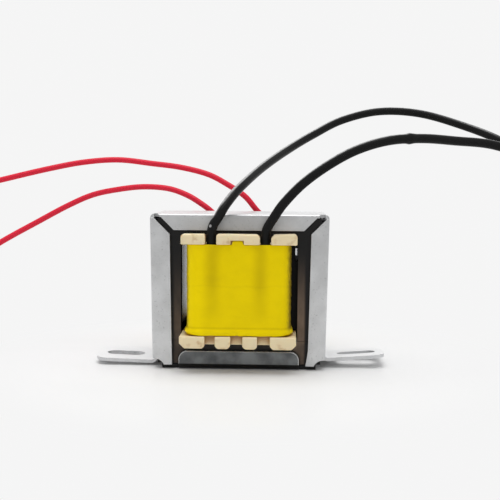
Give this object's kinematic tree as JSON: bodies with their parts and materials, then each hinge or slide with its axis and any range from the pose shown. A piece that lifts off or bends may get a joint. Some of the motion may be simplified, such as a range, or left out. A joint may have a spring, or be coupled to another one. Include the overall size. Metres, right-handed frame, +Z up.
{
  "type": "chassis mount transformer",
  "caption": "Small chassis mount mains transformer with a laminated core in a folded steel channel, slotted feet, a taped coil on a nylon bobbin and flying leads.",
  "frame": {"origin": "on the chassis surface, under the middle of the body between the two fixing slots", "axes": "+X runs along the feet to the right foot, -Y is the side of the thicker secondary leads, +Z is up from the chassis"},
  "size_m": [0.193, 0.0425, 0.0476],
  "materials": {
    "galvanised_steel": "satin galvanised strip",
    "base_steel": "satin steel strip",
    "lamination_steel": "dark varnished electrical steel",
    "ivory_nylon": "semi-matt moulded nylon",
    "polyester_tape": "satin yellow film tape",
    "enamelled_copper": "enamelled wire",
    "sleeving": "matt insulating sleeve",
    "wedge_fibre": "matt insulating fibre",
    "black_pvc": "semi-matt PVC insulation",
    "red_pvc": "semi-gloss PVC insulation",
    "tinned_copper": "tinned strands"
  },
  "bodies": {
    "root": {"channel_frame": "galvanised_steel", "base_channel": "base_steel", "front_e_lamination": "lamination_steel", "front_i_lamination": "lamination_steel", "back_e_lamination": "lamination_steel", "back_i_lamination": "lamination_steel", "inner_e_legs_down": "lamination_steel", "inner_i_bottom": "lamination_steel", "inner_e_legs_up": "lamination_steel", "inner_i_top": "lamination_steel", "bobbin": "ivory_nylon", "primary_winding": "enamelled_copper", "primary_wrap": "polyester_tape", "secondary_winding": "enamelled_copper", "outer_tape": "polyester_tape", "coil_wedge": "wedge_fibre", "secondary_splices": "sleeving", "primary_splices": "sleeving", "black_lead_left": "black_pvc", "black_lead_right": "black_pvc", "red_lead_left": "red_pvc", "red_lead_right": "red_pvc", "black_tip_left": "tinned_copper", "black_tip_right": "tinned_copper", "red_tip_left": "tinned_copper", "red_tip_right": "tinned_copper"}
  },
  "joints": []
}
